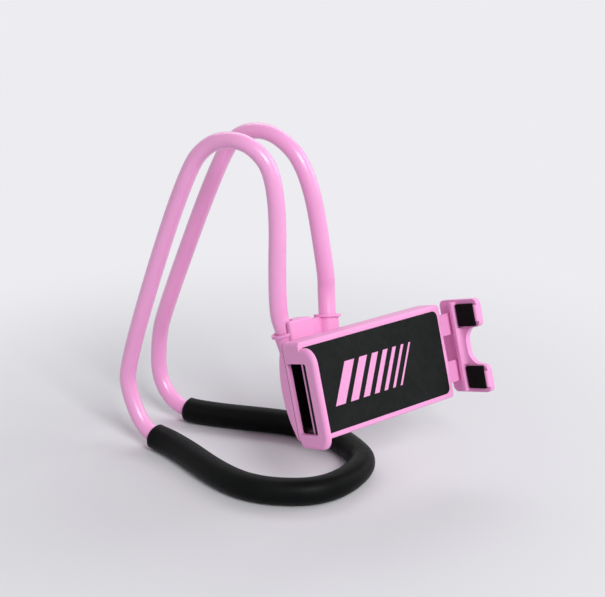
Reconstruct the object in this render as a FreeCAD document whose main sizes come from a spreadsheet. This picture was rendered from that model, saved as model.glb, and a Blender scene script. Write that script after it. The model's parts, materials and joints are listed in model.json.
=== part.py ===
import FreeCAD, Part
import Sketcher
import math
import os
import re
from FreeCAD import Placement, Rotation, Vector

# Neck phone holder: a bendable neck lies on the desk as a closed loop inside a
# foam sleeve, both of its ends rise, arch forward and plug into a bracket, and
# a spring-loaded clip swivels on the front of that bracket.
#
# Clip frame: X forward out of the phone pad, Y across towards the moving jaw,
# Z up the pad. Its zero is the middle of the clip's left end, level with the
# pad's face. Everything is then placed in the part frame, Z up from the desk.

doc = FreeCAD.newDocument("neck_phone_holder")
sheet = doc.addObject("Spreadsheet::Sheet", "sizes")

DRIVING = (
    # clip housing
    ("clip_length", 120.4, "left face of the housing to its right end"),
    ("clip_height", 64.2, "housing, edge to edge"),
    ("shell_wall", 2.2, "moulded wall"),
    ("split_depth", 17.6, "pad face back to the joint of housing and cover"),
    ("back_depth", 27.9, "pad face back to the middle of the cover's back"),
    ("cover_crown", 8.8, "how far the cover's back bulges beyond its long edges"),
    ("cover_round", 1.6, "rounding of the cover's back edges"),
    ("end_round", 2.6, "rounding of the housing's ends and the fixed jaw"),
    ("edge_round", 1.6, "rounding of the housing's front edges"),
    ("plate_thick", 1.6, "front plate behind the pad"),
    # front pad
    ("pad_thick", 3.4, "rubber pad"),
    ("pad_proud", 0.6, "pad above the housing's rim"),
    ("pad_rim", 3.6, "housing rim left round the pad"),
    ("pad_corner", 4.0, "pad corner radius"),
    # fixed jaw
    ("jaw_wall", 3.2, "fixed jaw plate"),
    ("jaw_reach", 12.9, "fixed jaw in front of the pad"),
    ("jaw_corner", 10.0, "fixed jaw's front corner radius"),
    ("jaw_heel", 4.0, "fixed jaw's back corner radius"),
    ("jaw_drop", 3.9, "fixed jaw hangs this far below the housing"),
    ("slot_length", 45.5, "window in the fixed jaw's end wall"),
    ("slot_back", 15.9, "window's back edge behind the pad face"),
    ("slot_front", 3.7, "window's front edge before the pad face"),
    # sliding jaw
    ("jaw_rest", 13.7, "housing end to moving jaw with the springs drawn in"),
    ("jaw_travel", 38.0, "how far the moving jaw draws out"),
    ("arm_width", 14.5, "slide arm across"),
    ("arm_space", 18.0, "open space between the two slide arms"),
    ("arm_thick", 3.0, "slide arm"),
    ("tie_width", 8.0, "cross tie at the arms' tails"),
    ("finger_thick", 4.5, "moving jaw plate"),
    ("finger_reach", 20.8, "moving jaw in front of the pad"),
    ("finger_back", 15.0, "moving jaw behind the pad face"),
    ("notch_width", 26.0, "cut-out between the two fingers"),
    ("notch_floor", 5.0, "cut-out's floor before the pad face"),
    ("notch_round", 10.5, "cut-out's floor radius"),
    ("finger_round", 4.0, "finger tip radius"),
    ("bead_radius", 1.5, "rounded lip inside a finger's tip"),
    ("finger_edge", 1.0, "rounding of the moving jaw's outer edges"),
    # foam grips on the jaws
    ("grip_thick", 2.0, "foam grip"),
    ("grip_start", 2.0, "grip's back edge before the pad face"),
    ("grip_inset", 1.6, "grip short of the finger's outer edge"),
    # clearances
    ("slide_gap", 0.3, "sliding clearance"),
    ("fit_gap", 0.05, "seated clearance"),
    # springs and screws
    ("spring_offset", 16.0, "spring axis above and below the middle"),
    ("spring_radius", 2.5, "coil outer radius"),
    ("wire_radius", 0.4, "spring wire radius"),
    ("post_radius", 1.5, "spring post"),
    ("post_inset", 9.0, "spring post from the left end"),
    ("screw_inset", 8.0, "cover screw from the ends"),
    ("screw_edge", 5.25, "cover screw from the long edges"),
    ("screw_radius", 1.2, "cover screw shank"),
    ("screw_head", 2.4, "cover screw head radius"),
    ("screw_grip", 7.0, "cover screw below its head"),
    ("boss_radius", 3.2, "screw boss in the housing"),
    ("pillar_radius", 3.8, "screw pillar in the cover"),
    ("rib_thick", 1.6, "guide rib beside a slide arm"),
    ("stop_width", 3.0, "stop that ends the jaw's travel"),
    ("root", 0.5, "how far inner features run into the wall that carries them"),
    # swivel
    ("hub_offset", 37.8, "swivel axis from the clip's left end"),
    ("hub_radius", 13.0, "swivel face radius"),
    ("hub_height", 0.3, "swivel face above the cover's back"),
    ("bolt_radius", 2.5, "swivel bolt"),
    ("hex_width", 8.0, "bolt head and nut across flats"),
    ("head_thick", 3.5, "bolt head"),
    ("washer_thick", 0.7, "friction washer"),
    ("nut_thick", 3.8, "lock nut"),
    ("disc_thick", 1.2, "disc spring"),
    ("pocket_radius", 6.0, "nut pocket in the bracket"),
    # bracket with the two sockets
    ("socket_setback", 40.0, "socket axes behind the pad face"),
    ("socket_spread", 36.8, "socket mouths, centre to centre"),
    ("socket_top", 37.9, "socket mouths above the swivel axis"),
    ("socket_step", 4.1, "far socket's mouth above the near one"),
    ("socket_length", 27.0, "socket outside length"),
    ("socket_depth", 22.0, "bore depth"),
    ("socket_wall", 1.5, "socket wall"),
    ("socket_flare", 1.3, "mouth wider than the bore, all round"),
    ("rim_width", 1.6, "rim beyond the socket wall"),
    ("rim_thick", 2.0, "rim"),
    ("splay_angle", 10.0, "each socket leans outward"),
    ("block_near", 20.8, "block from the swivel axis to its near side"),
    ("block_far", -1.9, "block from the swivel axis to its far side"),
    ("block_front", 29.5, "block's front face behind the pad face"),
    ("block_back", 46.0, "block's back face behind the pad face"),
    ("block_top", 42.6, "block above the swivel axis"),
    ("block_drop", 10.0, "block below the swivel axis"),
    ("web_thick", 5.0, "web from the block to the sockets"),
    # neck
    ("tube_diameter", 12.0, "bendable neck"),
    ("sleeve_diameter", 18.2, "foam sleeve"),
    ("sleeve_flat", 0.4, "how far the foam flattens on the desk"),
    ("bend_radius", 34.0, "largest bend of the neck"),
    ("arch_height", 231.0, "top of the arches, tube centre"),
    ("loop_length", 150.0, "loop on the desk, tube centre"),
    ("loop_width", 100.0, "loop on the desk, tube centre"),
    ("lead_length", 16.0, "straight neck above a socket"),
    # how the clip stands
    ("recline_angle", 17.9, "clip leans back"),
    ("roll_angle", -0.26, "clip's moving jaw stands a little higher"),
    ("clip_ahead", 85.9, "clip zero ahead of the loop's middle"),
    ("clip_side", -27.0, "clip zero beside the loop's middle"),
    ("clip_lift", 85.1, "clip zero above the desk"),
)

for row, (alias, number, note) in enumerate(DRIVING, start=1):
    sheet.set("A%d" % row, note)
    sheet.set("B%d" % row, str(number))
    sheet.setAlias("B%d" % row, alias)
doc.recompute()

ALIASES = re.compile(r"\b(" + "|".join(alias for alias, number, note in DRIVING) + r")\b")


def tied(text):
    """An expression on the sheet's cells, from one written with bare names."""
    return ALIASES.sub(r"sizes.\1", text)


def value(text):
    """The present figure of such an expression."""
    return float(sheet.evalExpression(tied(text)))


# Places that several pieces share
HALF = "clip_height / 2"
JAW_TOP = "(clip_height / 2 - jaw_drop)"
JAW_FOOT = "(-clip_height / 2 - jaw_drop)"
PLATE_BACK = "(pad_thick + plate_thick)"
ARM_FRONT = "(pad_thick + plate_thick + slide_gap)"
ARM_BACK = "(pad_thick + plate_thick + slide_gap + arm_thick)"
ARM_OUT = "(arm_space / 2 + arm_width)"
TIE_RIGHT = "(clip_length - shell_wall - jaw_travel)"
TAIL = "(clip_length - shell_wall - jaw_travel - tie_width)"
JAW_FACE = "(clip_length + jaw_rest)"
COVER_INSIDE = "(back_depth - shell_wall)"
HUB_FACE = "(back_depth + hub_height)"
BRACKET_FACE = "(back_depth + hub_height + washer_thick + 2 * fit_gap)"
NUT_SEAT = "(block_back - disc_thick - nut_thick - 1)"
SPRING_DEPTH = "(pad_thick + plate_thick + slide_gap + arm_thick + 1.5)"

ALONG_X = Rotation(Vector(0, 0, 1), Vector(1, 0, 0))
ALONG_Y = Rotation(Vector(0, 0, 1), Vector(0, 1, 0))
BACKWARD = Rotation(Vector(0, 0, 1), Vector(-1, 0, 0))
UPWARD = Rotation()


def move_to(item, x, y, z):
    item.setExpression("Placement.Base.x", tied(x))
    item.setExpression("Placement.Base.y", tied(y))
    item.setExpression("Placement.Base.z", tied(z))


def block(name, x, y, z):
    """A block between two limits along each axis."""
    item = doc.addObject("Part::Box", name)
    for side, (low, high) in zip(("Length", "Width", "Height"), (x, y, z)):
        item.setExpression(side, tied("(%s) - (%s)" % (high, low)))
    move_to(item, x[0], y[0], z[0])
    return item


def rod(name, radius, length, start, turn):
    """A cylinder from a start point along a turned Z."""
    item = doc.addObject("Part::Cylinder", name)
    item.Placement = Placement(Vector(), turn)
    item.setExpression("Radius", tied(radius))
    item.setExpression("Height", tied(length))
    move_to(item, *start)
    return item


def cone(name, low_radius, high_radius, length, start, turn):
    item = doc.addObject("Part::Cone", name)
    item.Placement = Placement(Vector(), turn)
    item.setExpression("Radius1", tied(low_radius))
    item.setExpression("Radius2", tied(high_radius))
    item.setExpression("Height", tied(length))
    move_to(item, *start)
    return item


def hexagon(name, flats, length, start, turn):
    item = doc.addObject("Part::Prism", name)
    item.Polygon = 6
    item.Placement = Placement(Vector(), turn)
    item.setExpression("Circumradius", tied("(%s) / sqrt(3)" % flats))
    item.setExpression("Height", tied(length))
    move_to(item, *start)
    return item


def join(name, items):
    item = doc.addObject("Part::MultiFuse", name)
    item.Shapes = items
    return item


def cut(name, base, tools):
    item = doc.addObject("Part::Cut", name)
    item.Base = base
    item.Tool = tools[0] if len(tools) == 1 else join(name + "_tools", tools)
    return item


def shared(name, base, tool):
    """The volume that two shapes have in common."""
    item = doc.addObject("Part::Common", name)
    item.Base = base
    item.Tool = tool
    return item


def rounded(name, base, *choices):
    """Round the edges that each (test, radius) pair picks out of the base."""
    doc.recompute()
    item = doc.addObject("Part::Fillet", name)
    item.Base = base
    picked = []
    for number, edge in enumerate(base.Shape.Edges, start=1):
        for test, radius in choices:
            if test(edge):
                picked.append((number, value(radius), value(radius)))
    item.Edges = picked
    return item


def runs_along(edge, axis):
    """True for a straight edge along an axis."""
    if not isinstance(edge.Curve, Part.Line):
        return False
    return abs(abs(edge.tangentAt(edge.FirstParameter).dot(axis)) - 1) < 1e-6


def lies_at(edge, axis, text):
    """True for an edge whose middle has this coordinate."""
    middle = (edge.BoundBox.Center).dot(axis)
    return abs(middle - value(text)) < 1e-4


def rims_at(edge, text):
    """True for an edge that lies wholly in a plane across the clip."""
    place = value(text)
    return abs(edge.BoundBox.YMin - place) < 1e-4 and abs(edge.BoundBox.YMax - place) < 1e-4


X, Y, Z = Vector(1, 0, 0), Vector(0, 1, 0), Vector(0, 0, 1)


def plate_body(name, corners, start, thickness, *rounds):
    """A plate across the clip: a fully constrained outline in X and Z, padded
    along Y from the start, with the corners at (x, z) rounded."""
    body = doc.addObject("PartDesign::Body", name)
    sketch = body.newObject("Sketcher::SketchObject", name + "_outline")
    plane = [item for item in body.Origin.OriginFeatures if item.Role == "XZ_Plane"][0]
    sketch.AttachmentSupport = (plane, [""])
    sketch.MapMode = "FlatFace"
    sketch.setExpression("AttachmentOffset.Base.z", tied("-(%s)" % start))
    places = [Vector(value(x), value(z), 0) for x, z in corners]
    count = len(corners)
    for index in range(count):
        line = Part.LineSegment(places[index], places[(index + 1) % count])
        sketch.addGeometry(line, False)
    for index in range(count):
        sketch.addConstraint(Sketcher.Constraint("Coincident", index, 2, (index + 1) % count, 1))
    for index, (x, z) in enumerate(corners):
        for kind, text, now in (("DistanceX", x, places[index].x), ("DistanceY", z, places[index].y)):
            held = sketch.addConstraint(Sketcher.Constraint(kind, -1, 1, index, 1, now))
            sketch.setExpression("Constraints[%d]" % held, tied(text))
    pad = body.newObject("PartDesign::Pad", name + "_pad")
    pad.Profile = sketch
    pad.Reversed = True
    pad.setExpression("Length", tied(thickness))
    doc.recompute()
    last = pad
    for index, (radius, spots) in enumerate(rounds):
        fillet = body.newObject("PartDesign::Fillet", "%s_round_%d" % (name, index))
        picked = []
        for number, edge in enumerate(last.Shape.Edges, start=1):
            for x, z in spots:
                if runs_along(edge, Y) and lies_at(edge, X, x) and lies_at(edge, Z, z):
                    picked.append("Edge%d" % number)
        fillet.Base = (last, picked)
        fillet.setExpression("Radius", tied(radius))
        doc.recompute()
        last = fillet
    body.Tip = last
    return body


# Front housing: rim and plate, end wall with the fixed jaw, open at the back
def front_edge(edge):
    return lies_at(edge, X, "-pad_proud") and (runs_along(edge, Y) or rims_at(edge, "clip_length"))


def end_corner(edge):
    return runs_along(edge, X) and (rims_at(edge, "0") or rims_at(edge, "clip_length"))


housing_block = block(
    "housing_block", ("-split_depth", "-pad_proud"), ("0", "clip_length"), ("-" + HALF, HALF)
)
housing_form = rounded(
    "housing_form", housing_block, (front_edge, "edge_round"), (end_corner, "end_round")
)
jaw_plate = plate_body(
    "fixed_jaw_plate",
    (
        ("-split_depth", JAW_FOOT),
        ("jaw_reach", JAW_FOOT),
        ("jaw_reach", JAW_TOP),
        ("-split_depth", JAW_TOP),
    ),
    "0",
    "jaw_wall",
    ("jaw_corner", (("jaw_reach", JAW_FOOT), ("jaw_reach", JAW_TOP))),
    ("jaw_heel", (("-split_depth", JAW_FOOT), ("-split_depth", JAW_TOP))),
)
jaw_form = rounded("fixed_jaw_form", jaw_plate, (lambda edge: rims_at(edge, "0"), "end_round"))
housing_solid = join("housing_solid", [housing_form, jaw_form])

housing_hollow = block(
    "housing_hollow",
    ("-split_depth - 1", "-" + PLATE_BACK),
    ("jaw_wall", "clip_length - shell_wall"),
    ("-clip_height / 2 + shell_wall", "clip_height / 2 - shell_wall"),
)
pad_seat = rounded(
    "pad_seat",
    block(
        "pad_seat_block",
        ("-pad_thick", "1"),
        ("jaw_wall", "clip_length - pad_rim"),
        ("-clip_height / 2 + pad_rim", "clip_height / 2 - pad_rim"),
    ),
    (lambda edge: runs_along(edge, X) and lies_at(edge, Y, "clip_length - pad_rim"), "pad_corner"),
)
jaw_window = rounded(
    "jaw_window",
    block(
        "jaw_window_block",
        ("-slot_back", "slot_front"),
        ("-1", "jaw_wall"),
        ("-slot_length / 2 - jaw_drop", "slot_length / 2 - jaw_drop"),
    ),
    (lambda edge: runs_along(edge, Y), "edge_round"),
)
arm_windows = []
for side in (1, -1):
    low, high = sorted(
        ("%d * (arm_space / 2 - slide_gap)" % side, "%d * (%s + slide_gap)" % (side, ARM_OUT)), key=value
    )
    arm_windows.append(
        block(
            "arm_window_upper" if side > 0 else "arm_window_lower",
            ("-%s - slide_gap" % ARM_BACK, "-" + PLATE_BACK),
            ("clip_length - shell_wall - 1", "clip_length + 1"),
            (low, high),
        )
    )
housing_open = cut(
    "housing_open", housing_solid, [housing_hollow, pad_seat, jaw_window] + arm_windows
)

inside = []
pilots = []
SCREW_SPOTS = [
    (along, "%d * (clip_height / 2 - screw_edge)" % side)
    for along in ("screw_inset", "clip_length - screw_inset")
    for side in (1, -1)
]
for number, (along, height) in enumerate(SCREW_SPOTS, start=1):
    inside.append(
        rod(
            "screw_boss_%d" % number,
            "boss_radius",
            "split_depth - %s + root" % PLATE_BACK,
            ("root - " + PLATE_BACK, along, height),
            BACKWARD,
        )
    )
    pilots.append(
        rod(
            "screw_pilot_%d" % number,
            "screw_radius + fit_gap",
            "screw_grip - 1",
            ("-split_depth", along, height),
            ALONG_X,
        )
    )
for side, name in ((1, "upper"), (-1, "lower")):
    inside.append(
        rod(
            "spring_post_" + name,
            "post_radius",
            "%s - %s + 2" % (SPRING_DEPTH, PLATE_BACK),
            ("root - " + PLATE_BACK, "post_inset", "%d * spring_offset" % side),
            BACKWARD,
        )
    )
    guide = sorted(
        (
            "%d * (%s + slide_gap)" % (side, ARM_OUT),
            "%d * (%s + slide_gap + rib_thick)" % (side, ARM_OUT),
        ),
        key=value,
    )
    inside.append(
        block(
            "arm_guide_" + name,
            ("-%s - root" % ARM_BACK, "root - " + PLATE_BACK),
            (TAIL + " - tie_width", "clip_length - shell_wall + root"),
            guide,
        )
    )
    stop = sorted(
        (
            "%d * (arm_space / 2 + slide_gap)" % side,
            "%d * (arm_space / 2 + slide_gap + stop_width)" % side,
        ),
        key=value,
    )
    inside.append(
        block(
            "draw_stop_" + name,
            ("-" + ARM_BACK, "root - " + PLATE_BACK),
            (TAIL + " - slide_gap - 1.9", TAIL + " - slide_gap"),
            stop,
        )
    )
front_housing = cut("front_housing", join("housing_ribbed", [housing_open] + inside), pilots)

# Back cover: a shell with a bulging back, a round swivel face and screw pillars
CROWN_RADIUS = "((clip_height ^ 2 / 4 + cover_crown ^ 2) / (2 * cover_crown))"
CROWN_AXIS = (CROWN_RADIUS + " - back_depth", "0", "0")


def back_rim(edge):
    """True for the edges round the cover's bulging back."""
    if edge.BoundBox.XMax > value("cover_crown - back_depth + 0.5"):
        return False
    if runs_along(edge, Y):
        return True
    return edge.BoundBox.YLength < value("clip_length / 2")


cover_block = rounded(
    "cover_block",
    block("cover_core", ("-back_depth - 1", "-split_depth"), ("0", "clip_length"), ("-" + HALF, HALF)),
    (end_corner, "end_round"),
)
cover_arc = rod("cover_arc", CROWN_RADIUS, "clip_length + 2", (CROWN_AXIS[0], "-1", "0"), ALONG_Y)
cover_form = rounded("cover_form", shared("cover_crowned", cover_block, cover_arc), (back_rim, "cover_round"))
cover_hollow = shared(
    "cover_hollow",
    block(
        "cover_hollow_block",
        ("-" + COVER_INSIDE, "-split_depth + 1"),
        ("shell_wall", "clip_length - shell_wall"),
        ("-clip_height / 2 + shell_wall", "clip_height / 2 - shell_wall"),
    ),
    rod("cover_hollow_arc", CROWN_RADIUS + " - shell_wall", "clip_length", CROWN_AXIS, ALONG_Y),
)
cover_shell = cut("cover_shell", cover_form, [cover_hollow])
cover_added = [
    rod(
        "swivel_face",
        "hub_radius",
        "shell_wall + hub_height",
        ("-" + COVER_INSIDE, "hub_offset", "0"),
        BACKWARD,
    ),
    rod(
        "bolt_collar",
        "hex_width / 2 + 2.6",
        "head_thick - 0.5",
        ("-" + COVER_INSIDE, "hub_offset", "0"),
        ALONG_X,
    ),
]
cover_tools = [
    rod(
        "bolt_hole",
        "bolt_radius + fit_gap",
        "shell_wall + hub_height + 2",
        ("-%s + 1" % COVER_INSIDE, "hub_offset", "0"),
        BACKWARD,
    ),
    hexagon(
        "bolt_recess",
        "hex_width + 2 * fit_gap",
        "head_thick + 1",
        ("-" + COVER_INSIDE, "hub_offset", "0"),
        ALONG_X,
    ),
]
pillars = []
for number, (along, height) in enumerate(SCREW_SPOTS, start=1):
    pillars.append(
        rod(
            "screw_pillar_%d" % number,
            "pillar_radius",
            "back_depth - split_depth",
            ("-split_depth", along, height),
            BACKWARD,
        )
    )
    cover_tools.append(
        rod(
            "screw_hole_%d" % number,
            "screw_radius + 3 * fit_gap",
            "shell_wall + 2",
            ("-split_depth + 1", along, height),
            BACKWARD,
        )
    )
    cover_tools.append(
        rod(
            "screw_sink_%d" % number,
            "screw_head + 4 * fit_gap",
            "back_depth",
            ("-split_depth - shell_wall", along, height),
            BACKWARD,
        )
    )
cover_added.append(shared("screw_pillars", join("pillar_rods", pillars), cover_form))
back_cover = cut("back_cover", join("cover_solid", [cover_shell] + cover_added), cover_tools)

screws = []
for number, (along, height) in enumerate(SCREW_SPOTS, start=1):
    shank = rod(
        "screw_shank_%d" % number,
        "screw_radius",
        "screw_grip",
        ("-split_depth - shell_wall", along, height),
        ALONG_X,
    )
    head = rod(
        "screw_head_%d" % number,
        "screw_head",
        "1.6",
        ("-split_depth - shell_wall", along, height),
        BACKWARD,
    )
    screws.append(join("cover_screw_%d" % number, [shank, head]))
cover_screws = doc.addObject("Part::Compound", "cover_screws")
cover_screws.Links = screws

# Front pad in its seat
front_pad = rounded(
    "front_pad",
    block(
        "front_pad_block",
        ("-pad_thick", "0"),
        ("jaw_wall + fit_gap", "clip_length - pad_rim - fit_gap"),
        ("-clip_height / 2 + pad_rim + fit_gap", "clip_height / 2 - pad_rim - fit_gap"),
    ),
    (lambda edge: runs_along(edge, X) and lies_at(edge, Y, "clip_length - pad_rim - fit_gap"), "pad_corner"),
)

# Sliding jaw: two arms tied at their tails, a plate with two fingers
fingers = plate_body(
    "finger_plate",
    (
        ("-finger_back", "-" + HALF),
        ("finger_reach", "-" + HALF),
        ("finger_reach", "-notch_width / 2"),
        ("notch_floor", "-notch_width / 2"),
        ("notch_floor", "notch_width / 2"),
        ("finger_reach", "notch_width / 2"),
        ("finger_reach", HALF),
        ("-finger_back", HALF),
    ),
    JAW_FACE,
    "finger_thick",
    ("notch_round", (("notch_floor", "-notch_width / 2"), ("notch_floor", "notch_width / 2"))),
    (
        "finger_round",
        (
            ("finger_reach", "-" + HALF),
            ("finger_reach", "-notch_width / 2"),
            ("finger_reach", "notch_width / 2"),
            ("finger_reach", HALF),
            ("-finger_back", "-" + HALF),
            ("-finger_back", HALF),
        ),
    ),
)
finger_form = rounded(
    "finger_form", fingers, (lambda edge: rims_at(edge, JAW_FACE + " + finger_thick"), "finger_edge")
)
slide = [finger_form]
for side, name in ((1, "upper"), (-1, "lower")):
    reach = sorted(("%d * arm_space / 2" % side, "%d * %s" % (side, ARM_OUT)), key=value)
    slide.append(
        block("arm_" + name, ("-" + ARM_BACK, "-" + ARM_FRONT), (TAIL, JAW_FACE + " + root"), reach)
    )
    slide.append(
        rod(
            "slide_post_" + name,
            "post_radius",
            "%s - %s + 2.5" % (SPRING_DEPTH, ARM_BACK),
            ("root - " + ARM_BACK, TAIL + " + tie_width / 2", "%d * spring_offset" % side),
            BACKWARD,
        )
    )
    tip = sorted(
        (
            "%d * (notch_width / 2 + finger_round)" % side,
            "%d * (clip_height / 2 - finger_round)" % side,
        ),
        key=value,
    )
    slide.append(
        rod(
            "finger_bead_" + name,
            "bead_radius",
            "clip_height / 2 - notch_width / 2 - 2 * finger_round",
            ("finger_reach - bead_radius", JAW_FACE, tip[0]),
            UPWARD,
        )
    )
slide.append(
    block("arm_tie", ("-" + ARM_BACK, "-" + ARM_FRONT), (TAIL, TIE_RIGHT), ("-" + ARM_OUT, ARM_OUT))
)
sliding_jaw = join("sliding_jaw", slide)

# Foam grips
GRIP_END = "(finger_reach - 2 * bead_radius)"
grip_low = "(notch_width / 2 + grip_inset / 2)"
grip_high = "(clip_height / 2 - grip_inset * 1.8)"
upper_jaw_pad = plate_body(
    "upper_jaw_pad",
    (
        ("grip_start", grip_low),
        (GRIP_END, grip_low),
        (GRIP_END, grip_high),
        ("grip_start", grip_high),
    ),
    JAW_FACE + " - grip_thick",
    "grip_thick",
)
lower_jaw_pad = plate_body(
    "lower_jaw_pad",
    (
        ("grip_start", "-" + grip_high),
        (GRIP_END, "-" + grip_high),
        (GRIP_END, "-" + grip_low),
        ("grip_start", "-" + grip_low),
    ),
    JAW_FACE + " - grip_thick",
    "grip_thick",
)
fixed_jaw_pad = plate_body(
    "fixed_jaw_pad",
    (
        ("slot_front + 0.6", "-clip_height / 2 + jaw_corner - jaw_drop"),
        ("jaw_reach - grip_inset", "-clip_height / 2 + jaw_corner - jaw_drop"),
        ("jaw_reach - grip_inset", "clip_height / 2 - jaw_corner - jaw_drop"),
        ("slot_front + 0.6", "clip_height / 2 - jaw_corner - jaw_drop"),
    ),
    "jaw_wall",
    "grip_thick",
)


# Tension springs: close-wound coil between two eyes, each eye round its post
def tension_spring(name, side):
    axis_height = "%d * spring_offset" % side
    right_post = "(%s + tie_width / 2)" % TAIL
    eye_inside = "(post_radius + fit_gap)"
    eye_outside = "(post_radius + fit_gap + 2 * wire_radius)"
    coil_start = "(post_inset + post_radius + 3)"
    coil_end = "(%s - 1)" % TAIL
    pieces = [
        rod(
            name + "_coil",
            "spring_radius",
            "%s - %s" % (coil_end, coil_start),
            ("-" + SPRING_DEPTH, coil_start, axis_height),
            ALONG_Y,
        ),
        rod(
            name + "_lead",
            "wire_radius - fit_gap",
            "%s - post_inset - 2 * (%s - wire_radius)" % (right_post, eye_outside),
            ("-" + SPRING_DEPTH, "post_inset + %s - wire_radius" % eye_outside, axis_height),
            ALONG_Y,
        ),
    ]
    for end, place in (("left", "post_inset"), ("right", right_post)):
        front = "wire_radius - " + SPRING_DEPTH
        disc = rod(
            "%s_eye_%s" % (name, end), eye_outside, "2 * wire_radius", (front, place, axis_height), BACKWARD
        )
        hole = rod(
            "%s_hole_%s" % (name, end), eye_inside, "2 * wire_radius", (front, place, axis_height), BACKWARD
        )
        pieces.append(cut("%s_ring_%s" % (name, end), disc, [hole]))
    return join(name, pieces)


upper_spring = tension_spring("upper_spring", 1)
lower_spring = tension_spring("lower_spring", -1)

# Swivel stack on one bolt
HUB = ("hub_offset", "0")
swivel_bolt = join(
    "swivel_bolt",
    [
        hexagon("bolt_head", "hex_width", "head_thick", ("-" + COVER_INSIDE, *HUB), ALONG_X),
        rod("bolt_shank", "bolt_radius", "block_back - 0.6 - " + COVER_INSIDE, ("-" + COVER_INSIDE, *HUB), BACKWARD),
    ],
)


def ring(name, outer, thick, start):
    body = rod(name + "_disc", outer, thick, (start, *HUB), BACKWARD)
    hole = rod(name + "_hole", "bolt_radius + fit_gap", thick + " + 2", (start + " + 1", *HUB), BACKWARD)
    return cut(name, body, [hole])


friction_washer = ring("friction_washer", "hub_radius - 2", "washer_thick", "-%s - fit_gap" % HUB_FACE)
disc_spring = ring("disc_spring", "pocket_radius - 0.8", "disc_thick", "-%s - fit_gap" % NUT_SEAT)
swivel_nut = cut(
    "swivel_nut",
    hexagon("nut_body", "hex_width", "nut_thick", ("-%s - disc_thick - 2 * fit_gap" % NUT_SEAT, *HUB), BACKWARD),
    [
        rod(
            "nut_bore",
            "bolt_radius + fit_gap",
            "nut_thick + 2",
            ("-%s - disc_thick + 1" % NUT_SEAT, *HUB),
            BACKWARD,
        )
    ],
)

# Bracket: swivel hub, block and web, two leaning sockets with rims
def block_rounds(edge):
    if runs_along(edge, Z):
        return lies_at(edge, X, "-block_front")
    return lies_at(edge, Z, "block_top")


bracket_block = rounded(
    "bracket_block",
    block(
        "bracket_core",
        ("-block_back", "-block_front"),
        ("hub_offset - block_near", "hub_offset + block_far"),
        ("-block_drop", "block_top"),
    ),
    (block_rounds, "edge_round"),
)
solid = [
    bracket_block,
    rod("bracket_hub", "hub_radius", "block_back - 4 - " + BRACKET_FACE, ("-" + BRACKET_FACE, *HUB), BACKWARD),
    block(
        "socket_web",
        ("-socket_setback - web_thick / 2", "-socket_setback + web_thick / 2"),
        ("hub_offset - socket_spread / 2", "hub_offset + socket_spread / 2"),
        ("socket_top - socket_length + 2", "socket_top - rim_thick - 4"),
    ),
]
bores = [
    rod(
        "bracket_bore",
        "bolt_radius + fit_gap",
        "block_back",
        ("-%s + 1" % BRACKET_FACE, *HUB),
        BACKWARD,
    ),
    rod("nut_pocket", "pocket_radius", "block_back", ("-" + NUT_SEAT, *HUB), BACKWARD),
]
TUBE_BORE = "(tube_diameter / 2 + fit_gap)"
for side, name in ((-1, "near"), (1, "far")):
    lean = Rotation(X, -side * value("splay_angle"))
    mouth = (
        "-socket_setback",
        "hub_offset + %d * socket_spread / 2" % side,
        "socket_top + %d * socket_step / 2" % side,
    )

    def below(text):
        """The point on this socket's axis so far below its mouth."""
        return (
            mouth[0],
            "%s - %d * (%s) * sin(splay_angle * 1deg)" % (mouth[1], side, text),
            "%s - (%s) * cos(splay_angle * 1deg)" % (mouth[2], text),
        )

    solid.append(
        rod("socket_" + name, TUBE_BORE + " + socket_wall", "socket_length", below("socket_length"), lean)
    )
    solid.append(
        rod("socket_rim_" + name, TUBE_BORE + " + socket_wall + rim_width", "rim_thick", below("rim_thick"), lean)
    )
    bores.append(rod("tube_bore_" + name, TUBE_BORE, "socket_depth + 1", below("socket_depth"), lean))
    bores.append(
        cone(
            "tube_flare_" + name,
            TUBE_BORE,
            TUBE_BORE + " + socket_flare * 1.25",
            "2.5 * socket_flare",
            below("2 * socket_flare"),
            lean,
        )
    )
    bores.append(
        rod(
            "tube_room_" + name,
            TUBE_BORE + " + socket_flare * 1.25",
            "lead_length / 2",
            below("-socket_flare / 2"),
            lean,
        )
    )
socket_bracket = cut("socket_bracket", join("bracket_solid", solid), bores)
bracket_cap = join(
    "bracket_cap",
    [
        rod("cap_plug", "pocket_radius - fit_gap", "0.7", ("-block_back + 0.5", *HUB), BACKWARD),
        rod("cap_lid", "pocket_radius + 0.2", "1", ("-block_back", *HUB), BACKWARD),
    ],
)

# Placing the clip in the part frame
recline = Rotation(Y, -value("recline_angle")) * Rotation(X, value("roll_angle"))
clip_zero = Vector(value("clip_ahead"), value("clip_side"), value("clip_lift"))
clip_place = Placement(clip_zero, recline)

# Neck route: hand-set points, near socket over its arch, round the loop, far arch
floor = value("sleeve_diameter / 2 - sleeve_flat")
stretch = value("loop_length / 150")
widen = value("loop_width / 100")
arch = value("arch_height / 231")


def socket_line(side, below_mouth):
    lean = math.radians(value("splay_angle"))
    mouth = Vector(
        -value("socket_setback"),
        value("hub_offset") + side * value("socket_spread") / 2,
        value("socket_top") + side * value("socket_step") / 2,
    )
    along = Vector(0, side * math.sin(lean), math.cos(lean))
    return clip_place.multVec(mouth - along * below_mouth)


def rise(x, y, z):
    return Vector(x * stretch, y * widen, z * arch)


def lie(x, y):
    return Vector(x * stretch, y * widen, floor)


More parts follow.
